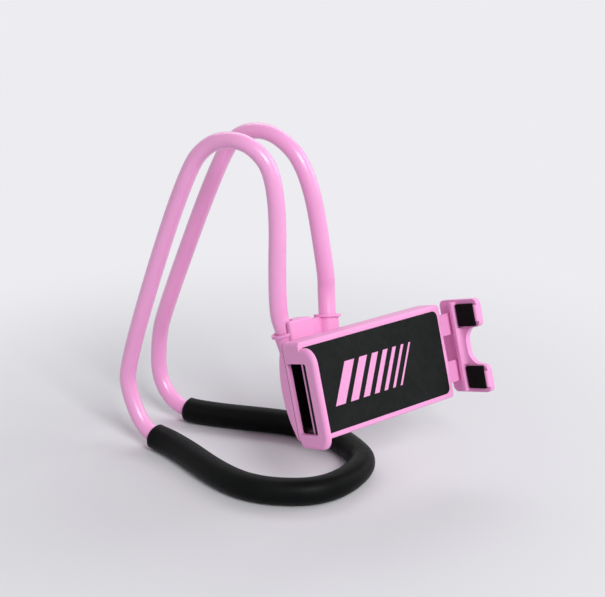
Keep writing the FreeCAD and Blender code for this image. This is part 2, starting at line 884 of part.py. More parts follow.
SEAT = value("socket_depth - fit_gap")
LEAD = value("-lead_length")
near_arm = [
    socket_line(-1, SEAT),
    socket_line(-1, LEAD),
    rise(37.4, -11.8, 209.1),
    rise(22.2, -22.1, 233.1),
    rise(-5.3, -32.6, 231.7),
    rise(-26.3, -40.3, 206.5),
    rise(-81.6, -60.5, 58.8),
    rise(-80.7, -59.9, 35.8),
    rise(-64.7, -56.9, 9.9),
]
loop = [
    lie(-37.4, -48.7),
    lie(29.8, -50.2),
    lie(59.6, -36.3),
    lie(81.7, -4.9),
    lie(69.3, 38.5),
    lie(42.3, 47.1),
    lie(-1.9, 49.2),
    lie(-67.4, -4.2),
]
far_arm = [
    rise(-90.0, -15.7, 10.2),
    rise(-107.4, -19.7, 28.5),
    rise(-108.0, -17.8, 59.9),
    rise(-97.6, -18.2, 84.9),
    rise(-44.5, 0.4, 210.1),
    rise(-22.8, 2.3, 231.0),
    rise(2.5, 11.3, 232.1),
    rise(25.5, 19.4, 209.0),
    rise(31.8, 31.3, 138.4),
    socket_line(1, LEAD),
    socket_line(1, SEAT),
]
route = near_arm + loop + far_arm


def bend(before, corner, after):
    """The tangent arc at a corner: where it starts, its middle, where it ends."""
    arriving = (corner - before).normalize()
    leaving = (after - corner).normalize()
    turn = arriving.getAngle(leaving)
    room = 0.45 * min(corner.distanceToPoint(before), corner.distanceToPoint(after))
    reach = min(room, value("bend_radius") * math.tan(turn / 2))
    radius = reach / math.tan(turn / 2)
    inward = (leaving - arriving).normalize()
    centre = corner + inward * (radius / math.cos(turn / 2))
    return corner - arriving * reach, centre - inward * radius, corner + leaving * reach


def route_wire(first, last):
    """Runs and arcs from the middle of one run to the middle of another, or
    from the very ends of the route."""
    def middle(run):
        return (route[run] + route[run + 1]) * 0.5

    at = route[0] if first == 0 else middle(first)
    end = route[-1] if last == len(route) - 2 else middle(last)
    edges = []
    for corner in range(first + 1, last + 1):
        start, halfway, finish = bend(route[corner - 1], route[corner], route[corner + 1])
        edges.append(Part.LineSegment(at, start).toShape())
        edges.append(Part.Arc(start, halfway, finish).toShape())
        at = finish
    edges.append(Part.LineSegment(at, end).toShape())
    return Part.Wire(edges)


def swept(wire, radius):
    """A round section carried along a wire, its volume held against the route."""
    first = wire.OrderedEdges[0]
    start = first.valueAt(first.FirstParameter)
    along = first.tangentAt(first.FirstParameter)
    section = Part.Face(Part.Wire(Part.Circle(start, along, radius).toShape()))
    tube = wire.makePipe(section)
    share = tube.Volume / (math.pi * radius ** 2 * wire.Length)
    if abs(share - 1) > 0.01:
        raise RuntimeError("swept tube holds %.3f of section times length" % share)
    print("route of %.0f mm, tube share %.4f" % (wire.Length, share))
    return tube


LAST_RUN = len(route) - 2
SLEEVE_FROM = len(near_arm) - 1
SLEEVE_TO = len(near_arm) + len(loop) - 1
gooseneck = doc.addObject("Part::Feature", "gooseneck")
gooseneck.Shape = swept(route_wire(0, LAST_RUN), value("tube_diameter / 2"))

# Foam sleeve, pressed flat where it lies on the desk
sleeve_route = route_wire(SLEEVE_FROM, SLEEVE_TO)
sleeve_outside = swept(sleeve_route, value("sleeve_diameter / 2"))
sleeve_bore = swept(sleeve_route, value("tube_diameter / 2 + fit_gap"))
reach = sleeve_outside.BoundBox.DiagonalLength
above_desk = Part.makeBox(2 * reach, 2 * reach, reach, Vector(-reach, -reach, 0))
neck_sleeve = doc.addObject("Part::Feature", "neck_sleeve")
neck_sleeve.Shape = sleeve_outside.common(above_desk).cut(sleeve_bore).Solids[0]

doc.recompute()

CLIP_PIECES = (
    front_housing,
    back_cover,
    cover_screws,
    front_pad,
    fixed_jaw_pad,
    sliding_jaw,
    upper_jaw_pad,
    lower_jaw_pad,
    upper_spring,
    lower_spring,
    swivel_bolt,
    friction_washer,
    disc_spring,
    swivel_nut,
    socket_bracket,
    bracket_cap,
)
NECK_PIECES = (gooseneck, neck_sleeve)
for piece in CLIP_PIECES:
    piece.Placement = clip_place
doc.recompute()

for item in doc.Objects:
    if "Invalid" in item.State or "Error" in item.State:
        raise RuntimeError("%s did not build: %s" % (item.Name, item.State))

# The part frame stands on the desk at the middle of everything
whole = FreeCAD.BoundBox()
for piece in CLIP_PIECES + NECK_PIECES:
    if piece.Shape.isNull() or not piece.Shape.isValid():
        raise RuntimeError("%s has no valid shape" % piece.Label)
    whole.add(piece.Shape.optimalBoundingBox())
centring = Placement(Vector(-whole.Center.x, -whole.Center.y, -whole.ZMin), Rotation())
for piece in CLIP_PIECES + NECK_PIECES:
    piece.Placement = centring * piece.Placement
    piece.Label = piece.Name

os.makedirs("parts", exist_ok=True)
for piece in CLIP_PIECES + NECK_PIECES:
    piece.Shape.exportStep("parts/%s.step" % piece.Label)
    print(piece.Label, len(piece.Shape.Solids), round(piece.Shape.Volume / 1000, 2), "cm3")
print("box", whole, "moved by", centring.Base)
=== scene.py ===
import json
import math

import bmesh
import bpy
from mathutils import Matrix, Vector, noise


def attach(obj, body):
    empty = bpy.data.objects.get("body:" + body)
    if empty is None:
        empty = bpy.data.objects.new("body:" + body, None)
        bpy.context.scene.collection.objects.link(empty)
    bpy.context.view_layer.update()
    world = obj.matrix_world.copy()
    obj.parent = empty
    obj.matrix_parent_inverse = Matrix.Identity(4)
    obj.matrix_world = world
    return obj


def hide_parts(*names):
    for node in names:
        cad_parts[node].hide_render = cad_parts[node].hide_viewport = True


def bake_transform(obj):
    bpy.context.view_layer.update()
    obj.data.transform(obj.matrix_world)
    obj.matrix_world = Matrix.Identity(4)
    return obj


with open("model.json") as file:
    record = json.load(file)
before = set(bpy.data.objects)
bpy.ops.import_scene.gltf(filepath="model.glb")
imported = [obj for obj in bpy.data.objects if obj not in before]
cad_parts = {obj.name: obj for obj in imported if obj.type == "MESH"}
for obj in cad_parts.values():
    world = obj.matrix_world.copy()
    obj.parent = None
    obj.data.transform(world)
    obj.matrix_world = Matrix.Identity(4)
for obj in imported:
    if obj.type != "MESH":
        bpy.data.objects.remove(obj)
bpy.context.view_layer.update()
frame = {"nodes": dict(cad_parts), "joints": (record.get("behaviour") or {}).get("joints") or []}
scene = bpy.context.scene
MM = 0.001

# Sizes of the solids, or worked out from them, in millimetres.
# Clip: how far its swivel lies from its zero, then its housing and cover
HUB_SETBACK = 28.2
HUB_OFFSET = 37.8
CLIP_LENGTH = 120.4
CLIP_HEIGHT = 64.2
SHELL_WALL = 2.2
SPLIT_DEPTH = 17.6
PLATE_BACK = 5.0
BACK_DEPTH = 27.9
COVER_CROWN = 8.8
PAD_THICK = 3.4
PAD_RIM = 3.6
PAD_CORNER = 4.0
SEAT_GAP = 0.05
# Fixed jaw
JAW_WALL = 3.2
JAW_REACH = 12.9
JAW_CORNER = 10.0
JAW_DROP = 3.9
SLOT_FRONT = 3.7
# Moving jaw and the foam grips
JAW_FACE = 134.1
NOTCH_WIDTH = 26.0
FINGER_REACH = 20.8
FINGER_BACK = 15.0
FINGER_THICK = 4.5
BEAD_RADIUS = 1.5
GRIP_THICK = 2.0
GRIP_START = 2.0
GRIP_INSET = 1.6
# Springs and screws
SPRING_OFFSET = 16.0
SPRING_RADIUS = 2.5
SPRING_DEPTH = 9.8
WIRE_RADIUS = 0.4
POST_INSET = 9.0
POST_RADIUS = 1.5
SLIDE_POST = 76.2
SCREW_INSET = 8.0
SCREW_OFFSET = 26.85
SCREW_RADIUS = 1.2
SCREW_HEAD = 2.4
SCREW_HEAD_THICK = 1.6
SCREW_SHANK = 7.0
# Bracket and its sockets, whose splay is an angle in radians
SOCKET_SETBACK = 40.0
SOCKET_SPREAD = 36.8
SOCKET_TOP = 37.9
SOCKET_STEP = 4.1
SOCKET_SPLAY = math.radians(10.0)
SOCKET_SEAT = 21.9
SOCKET_LEAD = 16.0
SOCKET_LENGTH = 27.0
BLOCK_FAR = -1.9
BLOCK_BACK = 46.0
POCKET_RADIUS = 6.0
# Neck and sleeve
TUBE_RADIUS = 6.0
SLEEVE_RADIUS = 9.1
SLEEVE_AXIS = 8.7

# The clip's own frame: forward out of the pad, across to the moving jaw, up the pad.
# Its zero is the middle of the clip's left end, level with the pad's face.
joints = {joint["name"]: joint for joint in frame["joints"]}
FORWARD = Vector(joints["clip_swivel"]["axis"]).normalized()
ACROSS = Vector(joints["jaw_slide"]["axis"]).normalized()
UPRIGHT = FORWARD.cross(ACROSS).normalized()
hub_place = Vector(joints["clip_swivel"]["pos_m"])
clip_zero = hub_place + (FORWARD * HUB_SETBACK - ACROSS * HUB_OFFSET) * MM
CLIP = Matrix((FORWARD, ACROSS, UPRIGHT)).transposed().to_4x4()
CLIP.translation = clip_zero

# The neck's route is laid out from the middle of the loop on the desk.
CLIP_FROM_LOOP = Vector((85.9, -27.0, 85.1))
loop_middle = clip_zero - CLIP_FROM_LOOP * MM


def in_clip(x, y, z):
    """A point of the clip's frame, in millimetres, as a place in metres."""
    return CLIP @ (Vector((x, y, z)) * MM)


def laid(x, y, z):
    """A point of the neck's layout, in millimetres, as a place in metres."""
    return loop_middle + Vector((x, y, z)) * MM


# Finishes. Noise and cells are given as features a metre, relief in metres.
class Finish:
    """A material under construction: one shader and its nodes."""

    def __init__(self, name):
        self.material = bpy.data.materials.new(name)
        self.material.use_nodes = True
        self.tree = self.material.node_tree
        self.tree.nodes.clear()
        self.output = self.node("ShaderNodeOutputMaterial")
        self.shader = self.node("ShaderNodeBsdfPrincipled")
        self.feed(self.shader.outputs["BSDF"], self.output.inputs["Surface"])
        self.place = self.node("ShaderNodeTexCoord").outputs["Object"]

    def node(self, kind, **settings):
        made = self.tree.nodes.new(kind)
        for key, setting in settings.items():
            setattr(made, key, setting)
        return made

    def feed(self, source, target):
        self.tree.links.new(source, target)

    def maths(self, operation, *terms):
        """One operation on terms, each an output of another node or a plain float."""
        made = self.node("ShaderNodeMath", operation=operation)
        for socket, term in zip(made.inputs, terms):
            if isinstance(term, float):
                socket.default_value = term
            else:
                self.feed(term, socket)
        return made.outputs["Value"]

    def grain(self, scale, detail, stretch=None):
        """Cloudy noise, finer and rougher with more detail."""
        made = self.node("ShaderNodeTexNoise")
        made.inputs["Scale"].default_value = scale
        made.inputs["Detail"].default_value = detail
        place = self.place
        if stretch:
            mapping = self.node("ShaderNodeMapping")
            mapping.inputs["Scale"].default_value = stretch
            self.feed(place, mapping.inputs["Vector"])
            place = mapping.outputs["Vector"]
        self.feed(place, made.inputs["Vector"])
        return made.outputs["Fac"]

    def cells(self, scale):
        """Rounded cells: zero at each cell's middle."""
        made = self.node("ShaderNodeTexVoronoi", feature="F1")
        made.inputs["Scale"].default_value = scale
        self.feed(self.place, made.inputs["Vector"])
        return made.outputs["Distance"]

    def spread(self, source, low, high, start=0.3, end=0.7):
        """The source's stretch from start to end, carried to low and high."""
        made = self.node("ShaderNodeMapRange")
        made.inputs["From Min"].default_value = start
        made.inputs["From Max"].default_value = end
        made.inputs["To Min"].default_value = low
        made.inputs["To Max"].default_value = high
        self.feed(source, made.inputs["Value"])
        return made.outputs["Result"]

    def blend_colours(self, factor, first, second):
        made = self.node("ShaderNodeMix", data_type="RGBA")
        made.inputs[6].default_value = (*first, 1.0)
        made.inputs[7].default_value = (*second, 1.0)
        self.feed(factor, made.inputs[0])
        return made.outputs[2]

    def mix_in(self, factor, source, colour):
        """A colour laid over a source by a factor."""
        made = self.node("ShaderNodeMix", data_type="RGBA")
        made.inputs[7].default_value = (*colour, 1.0)
        self.feed(factor, made.inputs[0])
        self.feed(source, made.inputs[6])
        return made.outputs[2]

    def sum_of(self, first, second, share):
        """The first source with a share of the second on top."""
        return self.maths("MULTIPLY_ADD", second, share, first)

    def both(self, first, second):
        return self.maths("MULTIPLY", first, second)

    def between(self, source, low, high):
        """One where the source lies between two limits, else nought."""
        above = self.maths("GREATER_THAN", source, low)
        under = self.maths("LESS_THAN", source, high)
        return self.both(above, under)

    def along_clip(self, axis):
        """How far a surface point lies from the clip's zero along one axis, in metres."""
        dot = self.node("ShaderNodeVectorMath", operation="DOT_PRODUCT")
        dot.inputs[1].default_value = axis
        self.feed(self.place, dot.inputs[0])
        return self.maths("SUBTRACT", dot.outputs["Value"], clip_zero.dot(axis))

    def colour(self, source):
        self.feed(source, self.shader.inputs["Base Color"])

    def roughness(self, source):
        self.feed(source, self.shader.inputs["Roughness"])

    def relief(self, source, depth):
        """Bump of so many metres between the source's 0 and 1."""
        made = self.node("ShaderNodeBump")
        made.inputs["Distance"].default_value = depth
        self.feed(source, made.inputs["Height"])
        self.feed(made.outputs["Normal"], self.shader.inputs["Normal"])

    def fixed(self, socket, number):
        """A number that is the same all over the surface."""
        self.shader.inputs[socket].default_value = number


def shaded(colour, factor):
    return tuple(channel * factor for channel in colour)


PINK = (0.87, 0.355, 0.665)
# Painted shade: near-black laid over the shell's inside faces, which lie in shadow
INSIDE_PAINTED_SHADE = (0.012, 0.004, 0.008)

# The parting line between the clip's halves, darkened by a painted shadow of its gap: half its width in
# millimetres, and the painted shadow's share of the pink
PARTING = 0.3
PARTING_PAINTED_SHADOW = 0.34


def moulded_pink(name, inside=None):
    """Satin moulded plastic: faint clouding, a fine spark-eroded grain. Where a mask of
    the shell's inside is given, painted shade darkens those inside faces, and a
    painted shadow darkens the parting line round its edge."""
    made = Finish(name)
    clouding = made.spread(made.grain(38.0, 3.0), 0.0, 1.0)
    skin = made.blend_colours(clouding, shaded(PINK, 0.965), shaded(PINK, 1.02))
    if inside:
        # Painted shadow: the parting line's gap, darker pink
        parting = made.between(
            made.along_clip(FORWARD), -(SPLIT_DEPTH + PARTING) * MM, -(SPLIT_DEPTH - PARTING) * MM
        )
        skin = made.mix_in(parting, skin, shaded(PINK, PARTING_PAINTED_SHADOW))
        # Painted shade over the shell's inside faces
        skin = made.mix_in(inside(made), skin, INSIDE_PAINTED_SHADE)
    made.colour(skin)
    made.roughness(made.spread(made.grain(420.0, 3.0), 0.36, 0.46))
    made.relief(made.grain(2600.0, 2.0), 0.000018)
    made.fixed("Specular IOR Level", 0.45)
    return made.material


# How far past a wall's inner face the painted shade reaches, and the inside's half height
LITTLE = 0.06
INNER_HALF = CLIP_HEIGHT / 2 - SHELL_WALL + LITTLE
# Lower limits, in metres, that no point of the clip falls below
FAR_BACK = -0.1
NO_LENGTH = -1.0


def inside_walls(made, left_wall):
    """The faces between the clip's end walls and under its top and bottom walls."""
    width = made.between(
        made.along_clip(ACROSS),
        (left_wall - LITTLE) * MM,
        (CLIP_LENGTH - SHELL_WALL + LITTLE) * MM,
    )
    height = made.between(made.along_clip(UPRIGHT), -INNER_HALF * MM, INNER_HALF * MM)
    return made.both(width, height)


def housing_inside_shade(made):
    """Mask for painted shade: the faces behind the front plate, within the housing's walls."""
    depth = made.between(made.along_clip(FORWARD), FAR_BACK, (LITTLE - PLATE_BACK) * MM)
    return made.both(depth, inside_walls(made, JAW_WALL))


def cover_inside_shade(made):
    """Mask for painted shade: the faces within the cover's walls, before its bulging back."""
    crown = (CLIP_HEIGHT ** 2 / 4 + COVER_CROWN ** 2) / (2 * COVER_CROWN)
    reach = made.node("ShaderNodeCombineXYZ")
    depth = made.maths("SUBTRACT", made.along_clip(FORWARD), (crown - BACK_DEPTH) * MM)
    made.feed(depth, reach.inputs["X"])
    made.feed(made.along_clip(UPRIGHT), reach.inputs["Y"])
    length = made.node("ShaderNodeVectorMath", operation="LENGTH")
    made.feed(reach.outputs["Vector"], length.inputs[0])
    before = made.between(length.outputs["Value"], NO_LENGTH, (crown - SHELL_WALL + LITTLE) * MM)
    return made.both(before, inside_walls(made, SHELL_WALL))


def jacket():
    """Soft jacket of the bendable neck: smoother, with faint handling marks."""
    made = Finish("soft_pink_jacket")
    clouding = made.spread(made.grain(24.0, 3.0), 0.0, 1.0)
    made.colour(made.blend_colours(clouding, shaded(PINK, 0.96), shaded(PINK, 1.02)))
    marks = made.sum_of(made.grain(160.0, 4.0), made.grain(1500.0, 2.0), 0.35)
    made.roughness(made.spread(marks, 0.3, 0.42, 0.45, 0.9))
    made.relief(made.grain(900.0, 3.0), 0.00002)
    made.fixed("Specular IOR Level", 0.5)
    made.fixed("Coat Weight", 0.7)
    made.fixed("Coat Roughness", 0.25)
    return made.material


def foam(name, colour, cell_scale, depth, rough_low, rough_high, sheen):
    """Closed-cell foam: fine pits under a dull skin."""
    made = Finish(name)
    pits = made.spread(made.cells(cell_scale), 0.0, 1.0, 0.0, 0.75)
    skin = made.sum_of(made.grain(cell_scale * 0.5, 4.0), pits, 0.8)
    tint = made.spread(made.grain(70.0, 4.0), 0.0, 1.0)
    made.colour(made.blend_colours(tint, shaded(colour, 0.8), shaded(colour, 1.35)))
    made.roughness(made.spread(made.grain(300.0, 3.0), rough_low, rough_high))
    made.relief(skin, depth)
    made.fixed("Specular IOR Level", sheen)
    return made.material


PEBBLE_SCALE = 1150.0


def pad_rubber():
    """Rubber sheet with a fine pebbled grain."""
    made = Finish("black_pad_rubber")
    tint = made.spread(made.grain(55.0, 5.0), 0.0, 1.0)
    made.colour(made.blend_colours(tint, (0.0065, 0.0075, 0.0073), (0.0105, 0.0118, 0.0115)))
    made.roughness(made.spread(made.grain(240.0, 4.0), 0.62, 0.8))
    pebbles = made.cells(PEBBLE_SCALE)
    made.relief(made.sum_of(made.grain(3000.0, 2.0), pebbles, 0.9), 0.00009)
    made.fixed("Specular IOR Level", 0.12)
    return made.material


def pad_ink():
    """Pink print on the pad: thin ink that takes some of the rubber's grain."""
    made = Finish("pad_ink_pink")
    wear = made.spread(made.grain(900.0, 4.0), 0.0, 1.0, 0.35, 0.7)
    made.colour(made.blend_colours(wear, shaded(PINK, 0.9), shaded(PINK, 1.03)))
    made.roughness(made.spread(made.grain(500.0, 3.0), 0.5, 0.62))
    made.relief(made.cells(PEBBLE_SCALE), 0.00005)
    return made.material


def steel(name, colour, rough_low, rough_high, streak):
    """Bright steel with fine drawn streaks."""
    made = Finish(name)
    tint = made.spread(made.grain(220.0, 3.0), 0.0, 1.0)
    made.colour(made.blend_colours(tint, shaded(colour, 0.85), colour))
    made.roughness(made.spread(made.grain(600.0, 3.0, streak), rough_low, rough_high))
    made.relief(made.grain(1800.0, 2.0, streak), 0.00001)
    made.fixed("Metallic", 1.0)
    return made.material


def nylon():
    """Milky nylon, a little uneven."""
    made = Finish("white_nylon")
    tint = made.spread(made.grain(120.0, 3.0), 0.0, 1.0)
    made.colour(made.blend_colours(tint, (0.78, 0.77, 0.73), (0.84, 0.83, 0.8)))
    made.roughness(made.spread(made.grain(700.0, 2.0), 0.4, 0.52))
    made.relief(made.grain(2000.0, 2.0), 0.00001)
    return made.material


shell_pink = moulded_pink("satin_pink_shell")
# Housing and cover: painted shade on their inside faces, painted shadow along the parting line
housing_pink = moulded_pink("satin_pink_housing_painted_shade", housing_inside_shade)
cover_pink = moulded_pink("satin_pink_cover_painted_shade", cover_inside_shade)
jacket_pink = jacket()
sleeve_foam = foam(
    "black_sleeve_foam",
    (0.0028, 0.0034, 0.0033),
    cell_scale=2200.0,
    depth=0.00005,
    rough_low=0.36,
    rough_high=0.48,
    sheen=0.07,
)
grip_foam = foam(
    "black_grip_foam",
    (0.003, 0.0031, 0.0029),
    cell_scale=1900.0,
    depth=0.00014,
    rough_low=0.65,
    rough_high=0.8,
    sheen=0.08,
)
pad_black = pad_rubber()
ink_pink = pad_ink()
spring_steel = steel("drawn_spring_steel", (0.62, 0.62, 0.64), 0.24, 0.38, (1.0, 0.15, 1.0))
plated_steel = steel("zinc_plated_steel", (0.72, 0.71, 0.69), 0.26, 0.42, (1.0, 1.0, 1.0))
white_nylon = nylon()

# Solids that show as they are; every other one is replaced by a piece below
NODE_FINISH = {
    "front_housing": housing_pink,
    "back_cover": cover_pink,
    "sliding_jaw": shell_pink,
    "socket_bracket": shell_pink,
    "bracket_cap": shell_pink,
    "swivel_bolt": plated_steel,
    "swivel_nut": plated_steel,
    "disc_spring": spring_steel,
    "friction_washer": white_nylon,
}
for node_name, finish in NODE_FINISH.items():
    node_mesh = frame["nodes"][node_name].data
    node_mesh.materials.clear()
    node_mesh.materials.append(finish)


# Helpers for meshes and pieces
def placed(name, data):
    """A new object in the scene."""
    made = bpy.data.objects.new(name, data)
    scene.collection.objects.link(made)
    return made


def piece(name, mesh, body, slot, *nodes):
    """Put a finished mesh in the scene, on its body, in place of its nodes."""
    made = placed(name, mesh)
    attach(made, body)
    if nodes:
        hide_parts(*nodes)
    return made


def plain_mesh(holder, name):
    """The evaluated result of an object as a mesh of its own; the object goes."""
    bpy.context.view_layer.update()
    graph = bpy.context.evaluated_depsgraph_get()
    mesh = bpy.data.meshes.new_from_object(holder.evaluated_get(graph))
    mesh.name = name
    bpy.data.objects.remove(holder)
    return mesh


def bridge(made, rings, closed=False):
    """Faces between each closed row of points and the next, and from the last
    row back to the first where the rows close."""
    following = rings[1:] + rings[:1] if closed else rings[1:]
    for before, after in zip(rings, following):
        count = len(before)
        for number in range(count):
            beside = (number + 1) % count
            made.faces.new([before[number], before[beside], after[beside], after[number]])


def finished_mesh(made, name, finish, sharp_from=None, smooth=True):
    """A mesh under construction made whole: faces outwards, edges over so many
    degrees sharp, one finish."""
    bmesh.ops.recalc_face_normals(made, faces=made.faces)
    for face in made.faces:
        face.smooth = smooth
    mesh = bpy.data.meshes.new(name)
    made.to_mesh(mesh)
    made.free()
    mesh.materials.append(finish)
    if sharp_from:
        mesh.set_sharp_from_angle(angle=math.radians(sharp_from))
    return mesh


def route_curve(name, points, steps, girths=()):
    """A smooth line with these points as its control points, and a share of
    the full radius at each where that varies."""
    curve = bpy.data.curves.new(name, "CURVE")
    curve.dimensions = "3D"
    line = curve.splines.new("NURBS")
    line.points.add(len(points) - 1)
    for spot, place in zip(line.points, points):
        spot.co = (*place, 1.0)
    for spot, girth in zip(line.points, girths):
        spot.radius = girth
    line.order_u = 3
    line.use_endpoint_u = True
    curve.resolution_u = steps
    return placed(name, curve)


def new_tree(name, inputs, result):
    """A tree of geometry nodes with named inputs and one result."""
    tree = bpy.data.node_groups.new(name, "GeometryNodeTree")
    for label, kind in inputs.items():
        tree.interface.new_socket(label, in_out="INPUT", socket_type="NodeSocket" + kind)
    tree.interface.new_socket(result, in_out="OUTPUT", socket_type="NodeSocketGeometry")
    return tree


def tube_tree():
    """Geometry nodes: a round tube along a line, in even steps."""
    sockets = {
        "Line": "Geometry", "Radius": "Float", "Step": "Float", "Sides": "Int", "Finish": "Material"
    }
    tree = new_tree("tube_along_line", sockets, "Tube")
    start = tree.nodes.new("NodeGroupInput")
    end = tree.nodes.new("NodeGroupOutput")
    even = tree.nodes.new("GeometryNodeResampleCurve")
    even.mode = "LENGTH"
    ring = tree.nodes.new("GeometryNodeCurvePrimitiveCircle")
    sweep = tree.nodes.new("GeometryNodeCurveToMesh")
    sweep.inputs["Fill Caps"].default_value = True
    girth = tree.nodes.new("GeometryNodeInputRadius")
    smooth = tree.nodes.new("GeometryNodeSetShadeSmooth")
    real = tree.nodes.new("GeometryNodeRealizeInstances")
    coat = tree.nodes.new("GeometryNodeSetMaterial")
    join = tree.links.new
    join(start.outputs["Line"], even.inputs["Curve"])
    join(start.outputs["Step"], even.inputs["Length"])
    join(start.outputs["Radius"], ring.inputs["Radius"])
    join(start.outputs["Sides"], ring.inputs["Resolution"])
    join(even.outputs["Curve"], sweep.inputs["Curve"])
    join(ring.outputs["Curve"], sweep.inputs["Profile Curve"])
    join(girth.outputs["Radius"], sweep.inputs["Scale"])
    join(sweep.outputs["Mesh"], smooth.inputs["Geometry"])
    join(smooth.outputs["Geometry"], real.inputs["Geometry"])
    join(real.outputs["Geometry"], coat.inputs["Geometry"])
    join(start.outputs["Finish"], coat.inputs["Material"])
    join(coat.outputs["Geometry"], end.inputs["Tube"])
    return tree


TUBE_TREE = tube_tree()


def set_inputs(modifier, tree, **values):
    """Set a tree's inputs by their sockets' identifiers."""
    modifier.node_group = tree
    for item in tree.interface.items_tree:
        if item.item_type == "SOCKET" and item.in_out == "INPUT" and item.name in values:
            modifier[item.identifier] = values[item.name]


def tube_mesh(name, line, radius, step, sides, finish):
    """A tube along a line, which goes: radius and step in millimetres."""
    modifier = line.modifiers.new("tube", "NODES")
    set_inputs(modifier, TUBE_TREE, Radius=radius * MM, Step=step * MM, Sides=sides, Finish=finish)
    mesh = plain_mesh(line, name)
    made = bmesh.new()
    made.from_mesh(mesh)
    bmesh.ops.recalc_face_normals(made, faces=made.faces)
    made.to_mesh(mesh)
    made.free()
    return mesh


# Neck
def socket_axis(side, above):
    """A point on a socket's axis, so far above its mouth."""
    across = HUB_OFFSET + side * (SOCKET_SPREAD / 2 + above * math.sin(SOCKET_SPLAY))
    mouth = SOCKET_TOP + side * SOCKET_STEP / 2
    return in_clip(-SOCKET_SETBACK, across, mouth + above * math.cos(SOCKET_SPLAY))


near_arm = [
    socket_axis(-1, -SOCKET_SEAT),
    socket_axis(-1, 0.0),
    socket_axis(-1, SOCKET_LEAD),
    laid(37.4, -11.8, 208.7),
    laid(22.2, -22.1, 231.7),
    laid(-5.3, -32.6, 230.2),
    laid(-26.3, -40.3, 205.8),
    laid(-81.6, -60.5, 58.8),
    laid(-80.7, -59.9, 35.8),
    laid(-64.7, -56.9, 9.9),
]
loop = [
    laid(-37.4, -48.7, SLEEVE_AXIS),
    laid(29.8, -50.2, SLEEVE_AXIS),
    laid(59.6, -36.3, SLEEVE_AXIS),
    laid(81.7, -4.9, SLEEVE_AXIS),
    laid(69.3, 38.5, SLEEVE_AXIS),
    laid(42.3, 47.1, SLEEVE_AXIS),
    laid(-1.9, 49.2, SLEEVE_AXIS),
    laid(-67.4, -4.2, SLEEVE_AXIS),
]
far_arm = [
    laid(-90.0, -15.7, 10.2),
    laid(-107.4, -19.7, 28.5),
    laid(-108.0, -17.8, 59.9),
    laid(-97.6, -18.2, 84.9),
    laid(-44.5, 0.4, 209.5),
    laid(-22.4, 2.8, 229.4),
    laid(3.1, 12.1, 230.6),
    laid(26.7, 20.9, 208.6),
    laid(31.8, 31.3, 138.4),
    socket_axis(1, SOCKET_LEAD),
    socket_axis(1, 0.0),
    socket_axis(1, -SOCKET_SEAT),
]
route = near_arm + loop + far_arm

# The jacket is drawn a little thinner over the two arches: the share of its
# radius at those points of the route, counted from its near and its far end
ARCH_GIRTH = {3: 0.93, 4: 0.9, 5: 0.9, 6: 0.96, -8: 0.98, -7: 0.91, -6: 0.9, -5: 0.97}
girths = [1.0] * len(route)
for number, girth in ARCH_GIRTH.items():
    girths[number] = girth

JACKET_RADIUS = 5.9
JACKET_STEP = 2.2
JACKET_SIDES = 40
NECK_LINE_STEPS = 24
neck_line = route_curve("neck_line", route, NECK_LINE_STEPS, girths)
neck_mesh = tube_mesh("neck_tube", neck_line, JACKET_RADIUS, JACKET_STEP, JACKET_SIDES, jacket_pink)
piece("neck_tube", neck_mesh, "neck", "pink_jacket", "gooseneck")

# Foam sleeve
RING_SIDES = 56
SLEEVE_STEP = 1.6
SLEEVE_BORE = 6.05
SLEEVE_LINE_STEPS = 40
END_ROUND = 1.6
SLEEVE_START = (-57.7, -52.8, 9.5)
SLEEVE_END = (-82.4, -9.4, 9.2)

# Lumps in the foam's skin: height in millimetres, how near an end they stop,
# how many a metre, and how far round the ring they change, in metres
LUMP_HEIGHT = 0.12
LUMP_STOP = 4.0
LUMP_SCALE = 38.0
LUMP_REACH = 0.01

# Folds pressed into the foam on the inside of the tight bend:
# share of the sleeve's length, depth and half width in millimetres. They face
# so far round the ring, in radians, and fade to their sides by a power.
FOLDS = ((0.475, 0.55, 2.6), (0.535, 1.15, 2.2), (0.57, 0.8, 2.8), (0.615, 0.45, 2.4))
FOLD_TURN = 0.35
FOLD_FADE = 1.5


def line_points(points, steps):
    """Points along the route's smooth line."""
    mesh = plain_mesh(route_curve("line", points, steps), "line")
    found = [vertex.co.copy() for vertex in mesh.vertices]
    bpy.data.meshes.remove(mesh)
    return found


def even_steps(points, step):
    """The same line with points an even step apart."""
    lengths = [0.0]
    for before, after in zip(points, points[1:]):
        lengths.append(lengths[-1] + (after - before).length)
    count = max(2, round(lengths[-1] / step))
    found = []
    index = 0
    for number in range(count + 1):
        want = lengths[-1] * number / count
        while index < len(points) - 2 and lengths[index + 1] < want:
            index += 1
        share = (want - lengths[index]) / max(1e-9, lengths[index + 1] - lengths[index])
        found.append(points[index].lerp(points[index + 1], min(1.0, share)))
    return found


def nearest(points, place):
    return min(range(len(points)), key=lambda index: (points[index] - place).length_squared)


def sleeve_path():
    """The stretch of the neck's line that the sleeve covers."""
    points = line_points(route, SLEEVE_LINE_STEPS)
    first = nearest(points, laid(*SLEEVE_START))
    last = nearest(points, laid(*SLEEVE_END))
    return even_steps(points[first:last + 1], SLEEVE_STEP * MM)


def sleeve_ring(made, place, side, upward, radius, fold_depth=0.0, lump=0.0):
    """One ring of the sleeve, flat where it lies on the desk."""
    spots = []
    for number in range(RING_SIDES):
        turn = math.tau * number / RING_SIDES
        out = side * math.cos(turn) + upward * math.sin(turn)
        inward = max(0.0, -math.cos(turn - FOLD_TURN))
        grown = radius - fold_depth * inward ** FOLD_FADE
        if lump:
            grown += lump * noise.noise((place + out * LUMP_REACH) * LUMP_SCALE)
        spot = place + out * grown * MM
        spot.z = max(spot.z, 0.0)
        spots.append(made.verts.new(spot))
    return spots


